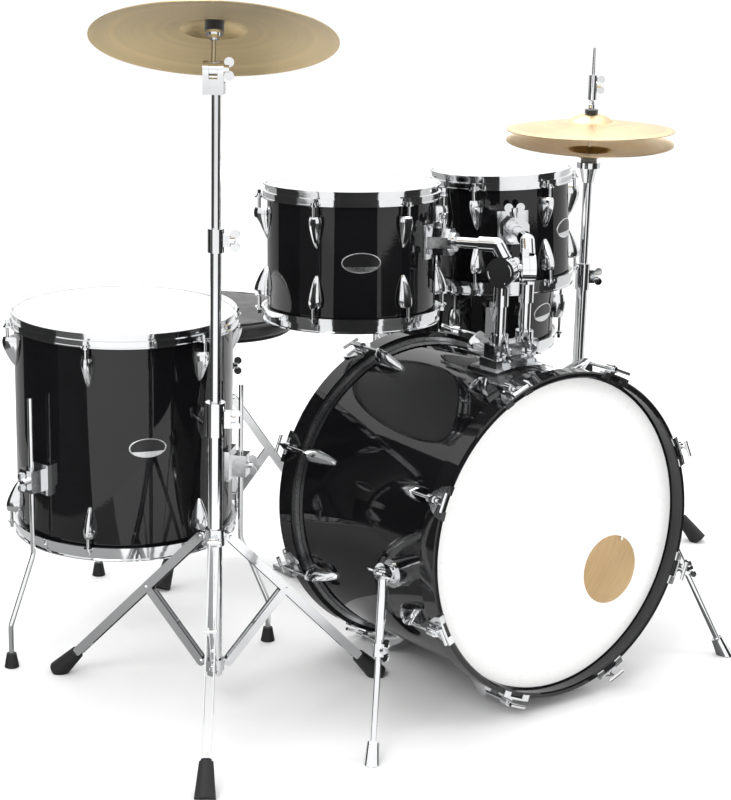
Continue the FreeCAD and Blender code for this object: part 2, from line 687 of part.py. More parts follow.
def build_tom(name, side, heading, arm_free, lean, bracket_up, diameter, depth):
    """Post, ratchet arm and drum on one side of the mount."""
    radius = diameter / 2
    reach = radius + arm_free
    foot = V(mount_x + side * post_spacing / 2, mount_y, 0)
    ratchet = foot + V(0, 0, mount_top + ratchet_rise)
    elbow = ratchet + V(0, 0, elbow_rise)
    normal = unit(lean)
    level = polar(1.0, heading)
    out = unit(level - normal * level.dot(normal))
    centre = elbow + out * reach - normal * bracket_up
    place = axes(centre, normal, -out)
    hinge = unit(level.cross(Z_AXIS))

    # post: tube, memory collar, sleeve and the fixed half of the ratchet
    post_bottom = foot + V(0, 0, mount_top - 110.0)
    sleeve_top = ratchet - V(0, 0, ratchet_r + 2.0)
    fixed_side = hinge * side
    fixed_half = cyl(ratchet_r, ratchet_half, ratchet + fixed_side * GAP / 2, fixed_side)
    fixed_face = ratchet + fixed_side * (GAP / 2 + ratchet_half - 1.5)
    fixed_groove = tube(ratchet_r - 3.0, ratchet_r - 6.0, 4.0, fixed_face, fixed_side)
    neck_top = ratchet + fixed_side * (ratchet_half / 2)
    neck = moved(Part.makeBox(18.0, ratchet_half, 26.0, V(-9.0, -ratchet_half / 2, -13.0)),
                 axes(neck_top - V(0, 0, ratchet_r + 2.0), Z_AXIS, level))
    neck = neck.common(cyl(60.0, ratchet_half, ratchet + fixed_side * GAP / 2, fixed_side))
    bolt = bar(ratchet + fixed_side * 4.0, ratchet - fixed_side * (ratchet_half + 8.0), 4.5)
    nut = wing_nut(axes(ratchet - fixed_side * (ratchet_half + GAP * 2), -fixed_side, Z_AXIS))
    post = fuse(bar(post_bottom, sleeve_top, post_r),
                bar(sleeve_top - V(0, 0, 34.0), sleeve_top, post_r + 3.5),
                fixed_half.cut(fixed_groove), neck, bolt, nut)
    collar = tube(post_r + 6.0, post_r + SEAT, 14.0, foot + V(0, 0, mount_top + 2.0 + GAP))
    parts["tom_%s_post" % name] = [post, collar]

    # arm: turning half of the ratchet, riser, elbow and tube
    turn_side = -fixed_side
    half = cyl(ratchet_r, ratchet_half, ratchet + turn_side * GAP / 2, turn_side)
    riser = moved(Part.makeBox(24.0, ratchet_half, ratchet_r + 10.0,
                               V(-12.0, -ratchet_half / 2, 0)),
                  axes(ratchet + turn_side * (GAP / 2 + ratchet_half / 2), Z_AXIS, level))
    sleeve_r = arm_r + 3.5
    knuckle = elbow + out * elbow_lean
    knuckle_foot = ratchet + V(0, 0, ratchet_r + 1.5)
    knuckle_post = bar(knuckle_foot - (knuckle - knuckle_foot) * 0.2, knuckle, sleeve_r)
    knuckle_post = knuckle_post.common(block(HUGE, HUGE, 80.0, knuckle_foot + V(0, 0, 40.0)))
    arm_end = elbow + out * (reach - radius - 6.0)
    arm = fuse(half, riser, knuckle_post, Part.makeSphere(sleeve_r, knuckle),
               bar(knuckle, elbow + out * 44.0, sleeve_r), bar(knuckle, arm_end, arm_r))
    rim_side = ratchet + turn_side * (GAP / 2 + ratchet_half - 1.5)
    arm = arm.cut(tube(ratchet_r - 3.0, ratchet_r - 6.0, 4.0, rim_side, turn_side))
    arm = arm.cut(bar(ratchet - turn_side * 60.0, ratchet + turn_side * 60.0, 4.5 + RUN))
    parts["tom_%s_arm" % name] = [arm]

    # bracket on the shell: plate, octagonal housing, eye bolt and wing nut
    plate = block(16.0, 58.0, 62.0, V(radius + 2.0, 0, bracket_up))
    plate = plate.common(cyl(radius + 6.0, depth, V(0, 0, -depth / 2)))
    eight = [polar(26.0, 22.5 + 45.0 * k) for k in range(8)]
    octagon = Part.Face(Part.makePolygon(eight + [eight[0]])).extrude(V(0, 0, 44.0))
    housing = moved(octagon, axes(V(radius - 2.0, 0, bracket_up), X_AXIS, Z_AXIS))
    collar_ring = cyl(17.0, 8.0, V(radius + 42.0, 0, bracket_up), X_AXIS)
    stem = cyl(5.0, 14.0, V(radius + 24.0, 0, bracket_up + 20.0))
    knob = wing_nut(axes(V(radius + 24.0, 0, bracket_up + 31.0), Z_AXIS, Y_AXIS))
    bore = cyl(arm_r + RUN, 80.0, V(radius + 5.0, 0, bracket_up), X_AXIS)
    bracket = fuse(plate, housing, collar_ring, stem, knob)
    bracket = cut(bracket, bore, cyl(radius + SEAT, depth, V(0, 0, -depth / 2)))
    parts["tom_%s_bracket" % name] = [moved(bracket, place)]
    lugged_drum("tom_" + name, radius, depth, 6, 30.0, place)

    pivots["tom_%s_swing" % name] = (ratchet, Z_AXIS, 0)
    pivots["tom_%s_tilt" % name] = (ratchet, hinge, 0)
    pivots["tom_%s_roll" % name] = (elbow, out, 0)


# ---- floor tom ------------------------------------------------------------------
def build_floor_tom():
    radius = floor_diameter / 2
    place = axes(floor_centre, Z_AXIS, polar(1.0, floor_heading))
    lugged_drum("floor_tom", radius, floor_depth, 6, 30.0, place)
    reach = radius + floor_leg_stand_off
    drop = -floor_centre.z
    foot_radius = reach + floor_foot_out
    route = [V(reach, 0, floor_leg_top + drop), V(reach, 0, floor_leg_bend_z + drop),
             V(foot_radius, 0, floor_leg_low_z + drop),
             V(foot_radius, 0, 26.0 + drop)]
    leg = bent_bar(route, floor_leg_r, 24.0)
    foot = cone(V(foot_radius, 0, 26.0 + drop), V(foot_radius, 0, drop), 9.0, 13.5)
    z = floor_bracket_z + drop
    body = fuse(block(40.0, 34.0, 42.0, V(radius + 18.0, 0, z)),
                block(10.0, 54.0, 58.0, V(radius + 3.0, 0, z)),
                wing_nut(axes(V(radius + 38.0, 0, z), X_AXIS, Z_AXIS)))
    body = cut(body, cyl(radius + SEAT, floor_depth, V(0, 0, -floor_depth / 2)),
               cyl(floor_leg_r + RUN, 100.0, V(reach, 0, z - 50.0)))
    parts["floor_tom_legs"] = all_moved(ring_of(leg, 3) + ring_of(foot, 3), place)
    parts["floor_tom_leg_brackets"] = all_moved(ring_of(body, 3), place)


# ---- snare drum and its stand -----------------------------------------------------
def build_snare():
    radius = snare_diameter / 2
    place = axes(snare_centre, Z_AXIS, polar(1.0, snare_heading))
    lugged_drum("snare", radius, snare_depth, 8, 0.0, place, split_lugs=False)
    bottom = snare_centre.z - snare_depth / 2 - HOOP_RISE
    wires = block(2 * radius - 70.0, 42.0, 1.6, V(0, 0, -snare_depth / 2 - FILM - 1.4))
    ends = [block(10.0, 46.0, 3.0, V(s * (radius - 32.0), 0, -snare_depth / 2 - FILM - 2.2))
            for s in (-1, 1)]
    housing = fuse(block(20.0, 30.0, 62.0, V(radius + 9.5, 0, 0)),
                   bar(V(radius + 17.0, 0, 6.0), V(radius + 44.0, 0, 40.0), 3.5),
                   cyl(7.0, 10.0, V(radius + 11.0, 0, 31.0)))
    butt = block(16.0, 26.0, 34.0, V(-radius - 7.5, 0, 0))
    clear = cyl(radius + SEAT, snare_depth, V(0, 0, -snare_depth / 2))
    strainer = [fuse(wires, *ends), turned(housing.cut(clear), 22.5),
                turned(butt.cut(clear), 22.5)]
    parts["snare_strainer"] = all_moved(strainer, place)

    hub_at = V(snare_centre.x, snare_centre.y, bottom - 46.0)
    flange = radius + HOOP_FLANGE
    arms = []
    for k in range(3):
        out = polar(1.0, snare_heading + 142.5 + 120.0 * k)
        side = V(-out.y, out.x, 0)
        tip = hub_at + out * (flange + 7.0)
        route = [hub_at, tip - V(0, 0, 8.0), tip + V(0, 0, 74.0)]
        rest = moved(block(22.0, 20.0, 7.0), axes(
            V(hub_at.x, hub_at.y, bottom - 4.0) + out * (flange - 2.0), Z_AXIS, out))
        arms.append(fuse(bent_bar(route, 5.0, 14.0), rest))
    hub = cyl(16.0, 34.0, hub_at - V(0, 0, 20.0))
    clear = fuse(cyl(flange + GAP, 40.0, V(hub_at.x, hub_at.y, bottom - SEAT)),
                 cyl(16.0 + SEAT, 60.0, hub_at - V(0, 0, 30.0)))
    arms = [arm.cut(clear) for arm in arms]
    stand = tripod(V(snare_centre.x, snare_centre.y, 0), 67.3, 11.0, 215.0, 70.0,
                   snare_foot_radius)
    top = hub_at.z - 20.0
    column = cyl(11.0, top - GAP - 60.0, V(snare_centre.x, snare_centre.y, 60.0))
    clamp = tube(15.0, 11.0 + SEAT, 30.0, V(snare_centre.x, snare_centre.y, top - 60.0))
    parts["snare_stand"] = [hub, column, clamp] + arms + fixed_tripod(stand)


# ---- crash stand ------------------------------------------------------------------
def clamp(at, span, inner, outer):
    """Split height clamp round a tube, with its wing nut."""
    low, high = span
    sleeve = tube(outer, inner, high - low, at + V(0, 0, low))
    out = polar(1.0, CLAMP_FACING)
    middle = at + V(0, 0, (low + high) / 2)
    lug_block = moved(block(14.0, 12.0, (high - low) * 0.5),
                      axes(middle + out * (outer + 3.0), Z_AXIS, out))
    nut = wing_nut(axes(middle + out * (outer + 9.0), out, Z_AXIS))
    return fuse(sleeve, lug_block.cut(cyl(inner, HUGE, at)), nut)


def clamped_tube(at, low, span, tube_r, bore_r, clamp_r):
    """Stand tube with the clamp on its top that grips the next tube."""
    top = span[0] + CLAMP_GRIP
    lower = tube(tube_r, bore_r, top - low, at + V(0, 0, low))
    grip = clamp(at, span, bore_r, clamp_r)
    socket = cyl(tube_r + SEAT, CLAMP_GRIP + SEAT, at + V(0, 0, span[0]))
    return lower, grip.cut(socket)


def build_crash():
    at = V(crash_x, crash_y, 0)
    stand = tripod(at, crash_heading, crash_base_r, crash_collar_z, crash_low_collar_z,
                   crash_foot_radius)
    base, lower_clamp = clamped_tube(at, crash_low_collar_z - 20.0, crash_lower_clamp,
                                     crash_base_r, crash_middle_r + RUN, 17.0)
    parts["crash_base_tube"] = [base, lower_clamp, stand["lower_collar"]]
    middle, upper_clamp = clamped_tube(at, crash_middle_low, crash_upper_clamp,
                                       crash_middle_r, crash_upper_r + RUN, 14.0)
    parts["crash_middle_tube"] = [middle, upper_clamp]

    normal = unit(crash_normal)
    pivot = at + V(0, 0, crash_top_z) + crash_pivot_step
    rim_centre = pivot + normal * tilt_arm
    hinge = unit(Z_AXIS.cross(normal))
    cheek = 7.0
    yoke_place = axes(pivot, Z_AXIS, hinge.cross(Z_AXIS))
    yoke_low = crash_top_z - 14.0 - pivot.z
    yoke = fuse(block(20.0, 34.0, -yoke_low, V(0, 0, yoke_low / 2)),
                cyl(12.5, 34.0, V(0, -17.0, 0), Y_AXIS))
    slot = block(60.0, 2 * cheek + 2 * GAP, 34.0, V(0, 0, 1.0))
    yoke = moved(yoke.cut(slot), yoke_place)
    head_block = cyl(15.0, 18.0, V(crash_x, crash_y, crash_top_z - 14.0))
    side_nut = wing_nut(axes(pivot - hinge * 16.5, hinge * -1, Z_AXIS))
    pin = bar(pivot - hinge * 16.5, pivot + hinge * 16.5, 3.5)
    upper = fuse(cyl(crash_upper_r, crash_top_z - crash_upper_low, at + V(0, 0, crash_upper_low)),
                 head_block, yoke, pin, side_nut)
    parts["crash_upper_tube"] = [upper]

    place = axes(pivot, normal, hinge)
    bell_under = tilt_arm + crash_bow + crash_bell - cymbal_sheet
    bell_over = bell_under + cymbal_sheet
    knuckle = cyl(11.0, 2 * cheek, V(-cheek, 0, 0), X_AXIS)
    rod = fuse(knuckle, cyl(4.0, bell_over + 46.0), cyl(15.0, 4.0, V(0, 0, bell_under - 22.0)),
               cyl(9.0, 8.0, V(0, 0, bell_under - 30.0)))
    rod = rod.cut(cyl(3.5 + RUN, 60.0, V(-30.0, 0, 0), X_AXIS))
    lower_felt = tube(16.0, 4.0 + SEAT, 17.0, V(0, 0, bell_under - 18.0 + GAP))
    upper_felt = tube(15.0, 4.0 + SEAT, 10.0, V(0, 0, bell_over + GAP))
    nut = wing_nut(axes(V(0, 0, bell_over + 10.0 + 2 * GAP), Z_AXIS)).cut(cyl(4.0 + SEAT, 200.0))
    parts["crash_tilter"] = all_moved([rod, lower_felt, upper_felt, nut], place)
    disc_place = axes(rim_centre, normal, hinge)
    parts["crash_cymbal"] = [moved(cymbal(crash_diameter, crash_bow, crash_bell), disc_place)]

    parts["crash_leg_collar"] = [stand["upper_collar"]]
    for leg, name in zip(stand["legs"], ("front", "right", "left")):
        parts["crash_leg_" + name] = leg["solids"]
        pivots["crash_leg_%s_fold" % name] = (leg["pivot"], leg["axis"], 0)
        pivots["crash_brace_%s_fold" % name] = (leg["middle"], leg["axis"], 0)
    for brace, name in zip(stand["braces"], ("front", "right", "left")):
        parts["crash_brace_" + name] = [brace]
    closed = stand["spread"] - math.radians(crash_fold)
    lift = 2 * stand["arm"] * (math.cos(closed) - math.cos(stand["spread"]))
    pivots["crash_collar_slide"] = (at, Z_AXIS, lift)
    pivots["crash_height_lower"] = (at, Z_AXIS, 0)
    pivots["crash_height_upper"] = (at, Z_AXIS, 0)
    pivots["crash_tilt"] = (pivot, hinge, 0)
    pivots["crash_spin"] = (rim_centre, normal, 0)


# ---- hi-hat -----------------------------------------------------------------------
def build_hihat():
    at = V(hat_x, hat_y, 0)
    stand = tripod(at, hat_heading, hat_base_r, hat_collar_z, hat_low_collar_z,
                   hat_foot_radius)
    bore = 4.5
    cup_top = hat_bottom_rim_z - hat_bow - hat_bell - 8.0
    base = tube(hat_base_r, bore, hat_clamp[0] + CLAMP_GRIP - hat_tube_low,
                at + V(0, 0, hat_tube_low))
    grip = clamp(at, hat_clamp, hat_upper_r + RUN, 16.0)
    grip = grip.cut(cyl(hat_base_r + SEAT, CLAMP_GRIP + SEAT, at + V(0, 0, hat_clamp[0])))
    upper_low = hat_clamp[0] + CLAMP_GRIP + RUN
    upper = tube(hat_upper_r, bore, cup_top - 44.0 - upper_low, at + V(0, 0, upper_low))
    cup_low = at + V(0, 0, cup_top - 44.0)
    cup_rim = at + V(0, 0, cup_top - 12.0)
    cup = fuse(cone(cup_low, cup_rim, 12.0, 19.0), cyl(25.0, 12.0, cup_rim))
    cup = cup.cut(cyl(bore, 60.0, cup_low - V(0, 0, 6.0)))
    felt = tube(17.0, bore, 7.6, at + V(0, 0, cup_top + SEAT))
    out = polar(1.0, hat_heading + 180.0)
    side = V(-out.y, out.x, 0)
    toward = axes(at, Z_AXIS, out)
    heel_x = hat_heel_reach
    rail_z = PLATE_Z + 1.0
    toe_top = rail_z + 6.0
    heel_top = rail_z + 4.0
    rail = heel_x - 38.0 - 2 * SEAT
    upright = hat_tube_low - toe_top - 2 * SEAT
    knuckle = HEEL_Z + 5.0 - heel_top - SEAT
    frame = [block(26.0, 70.0, 10.0, V(10.0, 0, rail_z + 1.0)),
             block(70.0, 92.0, 8.0, V(heel_x + 20.0, 0, rail_z)),
             block(34.0, 69.0, 9.0, V(0, 0, hat_tube_low + 4.5))]
    for s in (-1, 1):
        frame += [block(rail, 6.0, 6.0, V(23.0 + SEAT + rail / 2, s * 30.0, rail_z)),
                  block(9.0, 7.0, upright, V(0, s * 31.0, toe_top + SEAT + upright / 2)),
                  block(14.0, 12.0, knuckle, V(heel_x, s * 37.0, heel_top + SEAT + knuckle / 2))]
    base_socket = cyl(hat_base_r + SEAT, 60.0, V(0, 0, hat_tube_low - 20.0))
    pin_bore = cyl(HEEL_PIN_R + RUN, 120.0, V(heel_x, -60.0, HEEL_Z), Y_AXIS)
    frame = [cut(piece, base_socket, pin_bore) for piece in frame]
    parts["hihat_stand_base"] = [base, grip, upper, cup, felt] + all_moved(frame, toward)
    parts["hihat_stand_base"] += fixed_tripod(stand)

    bottom = cymbal(hat_diameter, hat_bow, hat_bell).mirror(ORIGIN, Z_AXIS)
    crown = hat_bottom_rim_z + hat_open + hat_bow + hat_bell
    root = at + V(0, 0, hat_bottom_rim_z - hat_bow - hat_bell)
    under_place = axes(root + unit(hat_bottom_lean) * (hat_bow + hat_bell), hat_bottom_lean)
    parts["hihat_bottom_cymbal"] = [moved(bottom, under_place)]
    top = cymbal(hat_diameter, hat_bow, hat_bell)
    over_place = axes(at + V(0, 0, crown) - unit(hat_top_lean) * (hat_bow + hat_bell),
                      hat_top_lean)
    parts["hihat_top_cymbal"] = [moved(top, over_place)]
    rod = bar(at + V(0, 0, hat_tube_low - 16.0), at + V(0, 0, hat_rod_top), 3.4)
    strap = moved(block(3.0, 12.0, 28.0), axes(at + V(0, 0, hat_tube_low - 28.0), Z_AXIS, out))
    under = tube(13.0, 3.4 + SEAT, 5.0, at + V(0, 0, crown - cymbal_sheet - 13.0))
    stem = tube(5.0, 3.4 + SEAT, 41.0, at + V(0, 0, crown - cymbal_sheet - 13.0))
    felt_low = tube(14.0, 5.0 + SEAT, 5.0, at + V(0, 0, crown - cymbal_sheet - 7.8))
    felt_up = tube(14.0, 5.0 + SEAT, 8.0, at + V(0, 0, crown + 1.2))
    body = tube(9.0, 3.4 + SEAT, 52.0, at + V(0, 0, crown + 30.0))
    nut_low = wing_nut(axes(at + V(0, 0, crown + 11.0), Z_AXIS, polar(1.0, 40.0)))
    nut_low = nut_low.cut(cyl(5.0 + SEAT, 60.0, at + V(0, 0, crown)))
    grip_nut = wing_nut(axes(at + V(0, 0, crown + 62.0) + polar(8.0, 320.0),
                             polar(1.0, 320.0), Z_AXIS))
    body = fuse(body, grip_nut.cut(cyl(3.4 + SEAT, 200.0, at + V(0, 0, crown))))
    parts["hihat_pull_rod"] = [fuse(rod, strap), fuse(under, stem), felt_low, felt_up,
                               nut_low, body]

    heel_pin = at + out * heel_x + V(0, 0, HEEL_Z)
    toe = at + out * 26.0 + V(0, 0, hat_tube_low - 26.0)
    parts["hihat_footboard"] = [footboard(heel_pin, toe, side)]
    pivots["hihat_foot"] = (heel_pin, -side, heel_x)
    pivots["hihat_slide"] = (at, Z_AXIS, hat_stroke)


def footboard(heel_pin, toe, side):
    """Tread plate on a hinge barrel with its pin."""
    run = unit(toe - heel_pin)
    up = unit(run.cross(side))
    if up.z < 0:
        up = -up
    length = (toe - heel_pin).Length
    place = axes(heel_pin, up, run)
    tread = block(length - 12.0, 76.0, 5.0, V(length / 2 + 6.0, 0, 6.5))
    web = block(26.0, 56.0, 5.0, V(8.0, 0, 6.5))
    barrel = cyl(6.5, 56.0, V(0, -28.0, 0), Y_AXIS)
    pin = cyl(HEEL_PIN_R, 92.0, V(0, -46.0, 0), Y_AXIS)
    return moved(fuse(tread, web, barrel, pin), place)


# ---- bass pedal ----------------------------------------------------------------------
def build_pedal():
    """Kick pedal clamped to the rear hoop: frame, footboard, beater on its shaft."""
    rear_y = bass_length * math.cos(tilt)
    post_y = rear_y + pedal_shaft_behind
    shaft_z = pedal_shaft_z
    shaft_r = 6.0
    heel_y = post_y + pedal_heel_reach
    plate = block(108.0, 70.0, 8.0, V(0, post_y - 4.0, PLATE_Z))
    grip = block(46.0, 40.0, 8.0, V(0, rear_y + 24.0, PLATE_Z + 8.0))
    post_mid = shaft_z / 2 + 10.0
    posts = [block(13.0, 16.0, shaft_z, V(s * 47.0, post_y, post_mid)) for s in (-1, 1)]
    rails = [bar(V(s * 24.0, post_y + 20.0, PLATE_Z), V(s * 24.0, heel_y, PLATE_Z), 3.0)
             for s in (-1, 1)]
    heel = block(88.0, 66.0, 8.0, V(0, heel_y + 20.0, PLATE_Z))
    knuckles = [block(12.0, 14.0, 18.0, V(s * 36.0, heel_y, HEEL_Z - 4.0)) for s in (-1, 1)]
    frame = fuse(plate, grip, heel, *posts, *rails, *knuckles)
    shaft_bore = cyl(shaft_r + RUN, 200.0, V(-100.0, post_y, shaft_z), X_AXIS)
    heel_bore = cyl(HEEL_PIN_R + RUN, 200.0, V(-100.0, heel_y, HEEL_Z), X_AXIS)
    parts["pedal_frame"] = [cut(frame, shaft_bore, heel_bore)]

    heel_pin = V(0, heel_y, HEEL_Z)
    toe = V(0, post_y + pedal_cam_r + 4.0, pedal_toe_z)
    parts["pedal_footboard"] = [footboard(heel_pin, toe, X_AXIS)]

    shaft_at = V(0, post_y, shaft_z)
    shaft = cyl(shaft_r, 112.0, V(-56.0, post_y, shaft_z), X_AXIS)
    cam = cyl(pedal_cam_r, 14.0, V(-7.0, post_y, shaft_z), X_AXIS)
    head_at = shaft_at + V(0, -2.0, pedal_beater_rise)
    stem = bar(shaft_at, head_at, 3.5)
    strap = block(8.0, 2.4, 70.0, V(0, post_y + pedal_cam_r - 1.0, shaft_z - 35.0))
    felt = cyl(24.0, 40.0, head_at + V(0, -24.0, 0), Y_AXIS).cut(bar(shaft_at, head_at, 3.5 + SEAT))
    holder = fuse(shaft, cam, stem, strap)
    parts["pedal_beater"] = [holder, felt.cut(holder)]
    pivots["pedal_foot"] = (heel_pin, X_AXIS, 0)
    pivots["pedal_beater_swing"] = (shaft_at, X_AXIS, 0)


# ---- throne ----------------------------------------------------------------------
def build_throne():
    at = V(throne_x, throne_y, 0)
    stand = tripod(at, throne_heading, 14.0, throne_collar_z, throne_low_collar_z,
                   throne_foot_radius)
    spindle_r = 11.0
    column_top = throne_collar_z + 60.0
    column = tube(14.0, spindle_r + RUN, column_top - 100.0, at + V(0, 0, 100.0))
    grip = clamp(at, (column_top + GAP, column_top + 28.0), spindle_r + RUN, 18.0)
    parts["throne_base"] = [column, grip] + fixed_tripod(stand)
    spindle = cyl(spindle_r, seat_bottom - 255.0, at + V(0, 0, 250.0))
    plate = cyl(60.0, 5.0, at + V(0, 0, seat_bottom - 5.0 - GAP))
    flange = cyl(24.0, 22.0, at + V(0, 0, seat_bottom - 26.0))
    parts["throne_seat_mount"] = [fuse(spindle, plate, flange)]
    round_edge = 18.0
    pad = cyl(seat_diameter / 2, seat_thickness, at + V(0, 0, seat_bottom))
    rims = [edge for edge in pad.Edges if edge.Closed]
    parts["throne_seat"] = [pad.makeFillet(round_edge, rims)]
    pivots["throne_spin"] = (at + V(0, 0, seat_bottom), Z_AXIS, 0)


build_bass_drum()
parts["spur_brackets"] = [build_spur("left", -1), build_spur("right", 1)]
build_mount()
build_tom("left", -1, left_heading, left_arm_free, left_lean, left_bracket_up,
          tom_left_diameter, tom_left_depth)
build_tom("right", 1, right_heading, right_arm_free, right_lean, right_bracket_up,
          tom_right_diameter, tom_right_depth)
build_floor_tom()
build_snare()
build_crash()
build_hihat()
build_pedal()
build_throne()

# ---- shift to the middle of the footprint and write ------------------------------
everything = Part.makeCompound([s for solids in parts.values() for s in solids])
box = everything.BoundBox
shift = V(-(box.XMin + box.XMax) / 2, -(box.YMin + box.YMax) / 2, 0)
os.makedirs("parts", exist_ok=True)
for node, solids in sorted(parts.items()):
    for solid in solids:
        solid.translate(shift)
    shape = solids[0] if len(solids) == 1 else Part.makeCompound(solids)
    if not shape.isValid() or len(shape.Solids) != len(solids):
        print("CHECK", node, "valid", shape.isValid(), "solids", len(shape.Solids), len(solids))
    shape.exportStep("parts/%s.step" % node)
print("shift", shift.x, shift.y, "nodes", len(parts))
for name, (point, axis, extra) in pivots.items():
    at = point + shift
    print("pivot", name, at.x, at.y, at.z, axis.x, axis.y, axis.z, extra)
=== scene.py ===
import math

import bmesh
import bpy
from mathutils import Matrix, Vector


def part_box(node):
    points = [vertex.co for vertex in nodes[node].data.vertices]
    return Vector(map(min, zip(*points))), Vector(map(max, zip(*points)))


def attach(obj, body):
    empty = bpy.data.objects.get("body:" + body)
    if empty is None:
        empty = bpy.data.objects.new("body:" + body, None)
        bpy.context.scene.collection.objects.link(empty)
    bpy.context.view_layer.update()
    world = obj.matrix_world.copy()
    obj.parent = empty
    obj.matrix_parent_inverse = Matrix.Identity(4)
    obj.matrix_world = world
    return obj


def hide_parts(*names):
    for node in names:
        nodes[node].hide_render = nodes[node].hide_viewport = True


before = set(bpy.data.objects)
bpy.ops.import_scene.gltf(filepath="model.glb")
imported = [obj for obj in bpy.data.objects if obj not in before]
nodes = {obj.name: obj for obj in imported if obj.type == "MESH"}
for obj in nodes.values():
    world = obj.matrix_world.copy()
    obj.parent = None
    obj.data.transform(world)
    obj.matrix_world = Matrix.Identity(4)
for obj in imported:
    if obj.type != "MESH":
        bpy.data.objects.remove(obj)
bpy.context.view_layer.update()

scene = bpy.context.scene

# ---- where the design's own frame lies in the row frame --------------------------
BASS_TILT = math.radians(2.95)
hoops_low, hoops_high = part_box("bass_hoops")
KIT_X = (hoops_low.x + hoops_high.x) / 2
KIT_Y = hoops_low.y + 0.295 * math.sin(BASS_TILT)


def kit(x, y, z):
    """Point of the design's frame, in metres, as a point of the row frame."""
    return Vector((KIT_X + x, KIT_Y + y, z))


def centre_of(node):
    low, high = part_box(node)
    return (low + high) / 2


def polar(degrees):
    angle = math.radians(degrees)
    return Vector((math.cos(angle), math.sin(angle), 0.0))


def frame_matrix(origin, z_direction, x_hint):
    z = z_direction.normalized()
    x = (x_hint - z * x_hint.dot(z)).normalized()
    y = z.cross(x)
    matrix = Matrix((x, y, z)).transposed().to_4x4()
    matrix.translation = origin
    return matrix


# ---- node helpers for materials ----------------------------------------------------
class Tree:
    """One material with a Principled surface, and short ways to add nodes."""

    def __init__(self, name, color, rough, **sockets):
        self.material = bpy.data.materials.new(name)
        self.material.use_nodes = True
        self.tree = self.material.node_tree
        self.surface = self.tree.nodes["Principled BSDF"]
        self.surface.inputs["Base Color"].default_value = (*color, 1.0)
        self.surface.inputs["Roughness"].default_value = rough
        for key, value in sockets.items():
            self.surface.inputs[key.replace("_", " ")].default_value = value
        self.material.diffuse_color = (*color, 1.0)

    def add(self, kind, **values):
        node = self.tree.nodes.new(kind)
        for key, value in values.items():
            setattr(node, key, value)
        return node

    def link(self, source, target):
        self.tree.links.new(source, target)
        return target

    def place(self):
        """Rest position of the surface in the row frame, in metres."""
        return self.add("ShaderNodeTexCoord").outputs["Object"]

    def math(self, operation, first, second=0.0, clamp=False):
        node = self.add("ShaderNodeMath", operation=operation, use_clamp=clamp)
        for socket, value in zip(node.inputs, (first, second)):
            if isinstance(value, (int, float)):
                socket.default_value = value
            else:
                self.link(value, socket)
        return node.outputs[0]

    def vector(self, operation, first, second=None):
        node = self.add("ShaderNodeVectorMath", operation=operation)
        for socket, value in zip(node.inputs, (first, second)):
            if value is None:
                continue
            if isinstance(value, (Vector, tuple)):
                socket.default_value = tuple(value)
            else:
                self.link(value, socket)
        return node.outputs["Value" if operation in ("DOT_PRODUCT", "LENGTH") else "Vector"]

    def stretched(self, scale):
        node = self.add("ShaderNodeMapping")
        node.inputs["Scale"].default_value = scale
        self.link(self.place(), node.inputs["Vector"])
        return node.outputs["Vector"]

    def noise(self, scale, detail=3.0, rough=0.5, vector=None):
        node = self.add("ShaderNodeTexNoise")
        node.inputs["Scale"].default_value = scale
        node.inputs["Detail"].default_value = detail
        node.inputs["Roughness"].default_value = rough
        self.link(vector or self.place(), node.inputs["Vector"])
        return node.outputs["Fac"]

    def cells(self, scale, feature="F1"):
        node = self.add("ShaderNodeTexVoronoi", feature=feature)
        node.inputs["Scale"].default_value = scale
        self.link(self.place(), node.inputs["Vector"])
        return node.outputs["Distance"]

    def ramp(self, value, low, high, start=0.3, end=0.7):
        """A number that goes from low to high as value goes from start to end."""
        node = self.add("ShaderNodeMapRange")
        self.link(value, node.inputs["Value"])
        for key, number in (("From Min", start), ("From Max", end),
                            ("To Min", low), ("To Max", high)):
            node.inputs[key].default_value = number
        return node.outputs["Result"]

    def colors(self, value, first, second, start=0.3, end=0.7):
        node = self.add("ShaderNodeValToRGB")
        node.color_ramp.elements[0].position = start
        node.color_ramp.elements[1].position = end
        node.color_ramp.elements[0].color = (*first, 1.0)
        node.color_ramp.elements[1].color = (*second, 1.0)
        self.link(value, node.inputs["Fac"])
        self.link(node.outputs["Color"], self.surface.inputs["Base Color"])

    def rough(self, value):
        self.link(value, self.surface.inputs["Roughness"])

    def bump(self, height, strength, depth, after=None):
        node = self.add("ShaderNodeBump")
        node.inputs["Strength"].default_value = strength
        node.inputs["Distance"].default_value = depth
        self.link(height, node.inputs["Height"])
        if after is not None:
            self.link(after, node.inputs["Normal"])
        self.link(node.outputs["Normal"], self.surface.inputs["Normal"])
        return node.outputs["Normal"]

    def along_radius(self, radius):
        """A vector that changes only with a radius, for rings of noise."""
        node = self.add("ShaderNodeCombineXYZ")
        self.link(radius, node.inputs["X"])
        return node.outputs["Vector"]

    def around(self, centre, axis):
        """(distance from an axis, place from a point on it) of the surface."""
        offset = self.vector("SUBTRACT", self.place(), centre)
        along = self.vector("DOT_PRODUCT", offset, axis.normalized())
        whole = self.vector("LENGTH", offset)
        square = self.math("SUBTRACT", self.math("MULTIPLY", whole, whole),
                           self.math("MULTIPLY", along, along))
        return self.math("SQRT", square), offset


def lacquer(name, tint, peel):
    """Gloss black finish with a faint orange peel and polishing haze."""
    t = Tree(name, tint, 0.04)
    haze = t.noise(9.0, 4.0, 0.6)
    t.colors(haze, tint, tuple(c * 1.7 for c in tint))
    t.rough(t.ramp(t.noise(38.0, 5.0, 0.7), 0.02, 0.055))
    t.bump(t.noise(peel, 2.0), 0.05, 0.0004)
    return t.material


